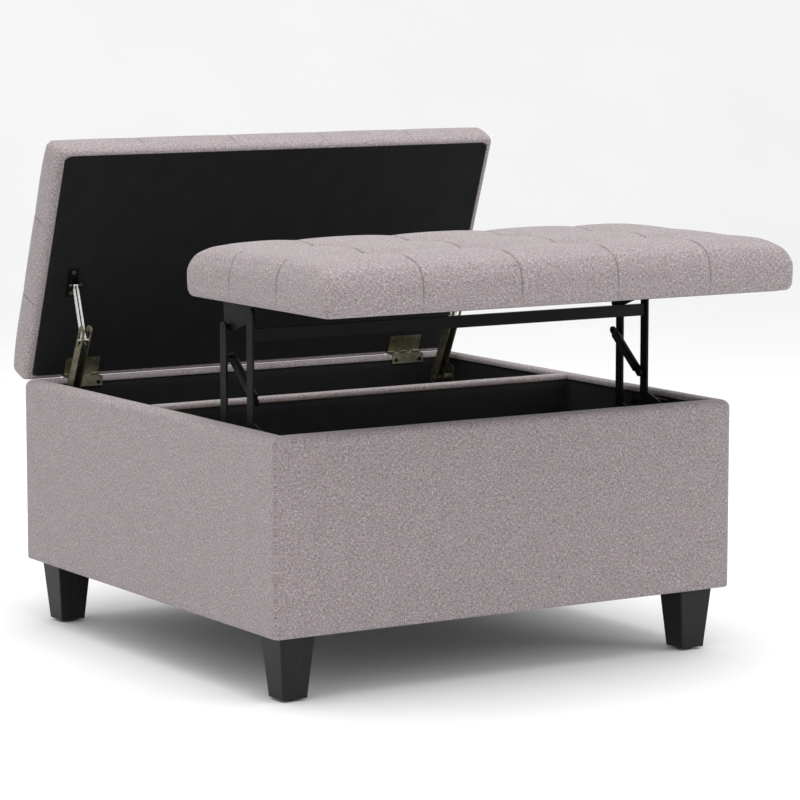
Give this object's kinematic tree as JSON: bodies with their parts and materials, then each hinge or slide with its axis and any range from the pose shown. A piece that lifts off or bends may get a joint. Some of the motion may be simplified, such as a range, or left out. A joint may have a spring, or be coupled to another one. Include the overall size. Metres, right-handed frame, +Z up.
{
  "type": "ottoman with storage",
  "caption": "Square upholstered storage ottoman, divided inside; the rear half of the top hinges up on stays, the front half rises level on crank arms.",
  "frame": {"origin": "on the floor, under the middle of the box", "axes": "+X to the right seen from the front, +Y to the rear (hinge side), +Z up; stored open: rear lid swung up 70 degrees, front lid raised and forward"},
  "size_m": [0.813, 1.0178, 0.7887],
  "materials": {
    "upholstery": "matte",
    "black_cloth": "matte",
    "wadding": "matte",
    "foam": "matte",
    "plywood": "matte",
    "espresso_wood": "satin",
    "black_steel": "satin",
    "bronze_steel": "satin",
    "zinc_steel": "satin",
    "nylon": "matte"
  },
  "bodies": {
    "box": {"left_panel": "plywood", "right_panel": "plywood", "front_panel": "plywood", "rear_panel": "plywood", "divider_panel": "plywood", "bottom_panel": "plywood", "corner_blocks": "plywood", "wall_padding": "wadding", "base_cover": "upholstery", "divider_cover": "upholstery", "front_lining": "black_cloth", "rear_lining": "black_cloth", "dust_cover": "black_cloth", "front_left_leg": "espresso_wood", "front_right_leg": "espresso_wood", "rear_left_leg": "espresso_wood", "rear_right_leg": "espresso_wood", "leg_glides": "nylon", "leg_bolts": "zinc_steel", "leg_plates": "zinc_steel", "box_screws": "zinc_steel", "hinge_base_leaf_left": "bronze_steel", "hinge_base_leaf_right": "bronze_steel", "hinge_pin_left": "bronze_steel", "hinge_pin_right": "bronze_steel", "stay_bracket_left": "bronze_steel", "stay_bracket_right": "bronze_steel", "lift_base_bracket_left": "black_steel", "lift_base_bracket_right": "black_steel", "lift_base_pins": "zinc_steel"},
    "rear_lid": {"rear_lid_board": "plywood", "rear_lid_foam": "foam", "rear_lid_cover": "upholstery", "rear_lid_cloth": "black_cloth", "rear_lid_screws": "zinc_steel", "hinge_lid_leaf_left": "bronze_steel", "hinge_lid_leaf_right": "bronze_steel", "stay_anchor_left": "bronze_steel", "stay_anchor_right": "bronze_steel"},
    "front_arms": {"front_arm_left": "black_steel", "front_arm_right": "black_steel", "lift_cross_bar": "black_steel"},
    "rear_arms": {"rear_arm_left": "black_steel", "rear_arm_right": "black_steel"},
    "front_lid": {"front_lid_board": "plywood", "front_lid_foam": "foam", "front_lid_cover": "upholstery", "front_lid_cloth": "black_cloth", "front_lid_screws": "zinc_steel", "lift_top_bracket_left": "black_steel", "lift_top_bracket_right": "black_steel", "lift_top_pins": "zinc_steel"},
    "stay_channel_left": {"stay_channel_left": "bronze_steel"},
    "stay_link_left": {"stay_link_left": "zinc_steel"},
    "spring_tube_left": {"spring_tube_left": "black_steel"},
    "spring_rod_left": {"spring_rod_left": "zinc_steel"},
    "stay_channel_right": {"stay_channel_right": "bronze_steel"},
    "stay_link_right": {"stay_link_right": "zinc_steel"},
    "spring_tube_right": {"spring_tube_right": "black_steel"},
    "spring_rod_right": {"spring_rod_right": "zinc_steel"}
  },
  "joints": [
    {"name": "rear_lid_hinge", "type": "hinge", "parent": "box", "child": "rear_lid", "pos_m": [0, 0.3976, 0.3962], "axis": [-1, 0, 0], "range_deg": [-70, 0]},
    {"name": "front_lid_lift", "type": "hinge", "parent": "box", "child": "front_arms", "pos_m": [0, -0.28281, 0.3744], "axis": [1, 0, 0], "range_deg": [-78.72, 0], "stiffness_Nm_per_rad": 5.5, "springref_deg": 65.89},
    {"name": "rear_arm_pivot", "type": "hinge", "parent": "box", "child": "rear_arms", "pos_m": [0, -0.21071, 0.3486], "axis": [1, 0, 0], "range_deg": [-78.77, 0.05]},
    {"name": "front_lid_level", "type": "hinge", "parent": "front_arms", "child": "front_lid", "pos_m": [0, -0.2473, 0.5524], "axis": [1, 0, 0], "range_deg": [-0.05, 78.77]},
    {"name": "stay_foot_left", "type": "hinge", "parent": "box", "child": "stay_channel_left", "pos_m": [-0.351, 0.3517, 0.352], "axis": [-1, 0, 0], "range_deg": [-91.31, 0.1]},
    {"name": "stay_head_left", "type": "hinge", "parent": "rear_lid", "child": "stay_link_left", "pos_m": [-0.351, 0.32767, 0.5474], "axis": [-1, 0, 0], "range_deg": [-0.1, 51.76]},
    {"name": "spring_tube_pivot_left", "type": "hinge", "parent": "front_arms", "child": "spring_tube_left", "pos_m": [-0.3452, -0.2473, 0.4214], "axis": [1, 0, 0], "range_deg": [-0.1, 35.3]},
    {"name": "spring_rod_pivot_left", "type": "hinge", "parent": "rear_arms", "child": "spring_rod_left", "pos_m": [-0.3452, -0.1752, 0.4826], "axis": [1, 0, 0], "range_deg": [-0.1, 35.3]},
    {"name": "stay_foot_right", "type": "hinge", "parent": "box", "child": "stay_channel_right", "pos_m": [0.351, 0.3517, 0.352], "axis": [-1, 0, 0], "range_deg": [-91.31, 0.1]},
    {"name": "stay_head_right", "type": "hinge", "parent": "rear_lid", "child": "stay_link_right", "pos_m": [0.351, 0.32767, 0.5474], "axis": [-1, 0, 0], "range_deg": [-0.1, 51.76]},
    {"name": "spring_tube_pivot_right", "type": "hinge", "parent": "front_arms", "child": "spring_tube_right", "pos_m": [0.3452, -0.2473, 0.4214], "axis": [1, 0, 0], "range_deg": [-0.1, 35.3]},
    {"name": "spring_rod_pivot_right", "type": "hinge", "parent": "rear_arms", "child": "spring_rod_right", "pos_m": [0.3452, -0.1752, 0.4826], "axis": [1, 0, 0], "range_deg": [-0.1, 35.3]}
  ],
  "couplings": [
    {"joint": "rear_arm_pivot", "follows": "front_lid_lift", "ratio": 1},
    {"joint": "front_lid_level", "follows": "front_lid_lift", "ratio": -1},
    {"joint": "stay_foot_left", "follows": "rear_lid_hinge", "ratio": 1.303},
    {"joint": "stay_head_left", "follows": "rear_lid_hinge", "ratio": -0.738},
    {"joint": "spring_tube_pivot_left", "follows": "front_lid_lift", "ratio": -0.4472},
    {"joint": "spring_rod_pivot_left", "follows": "front_lid_lift", "ratio": -0.4472},
    {"joint": "stay_foot_right", "follows": "rear_lid_hinge", "ratio": 1.303},
    {"joint": "stay_head_right", "follows": "rear_lid_hinge", "ratio": -0.738},
    {"joint": "spring_tube_pivot_right", "follows": "front_lid_lift", "ratio": -0.4472},
    {"joint": "spring_rod_pivot_right", "follows": "front_lid_lift", "ratio": -0.4472}
  ]
}
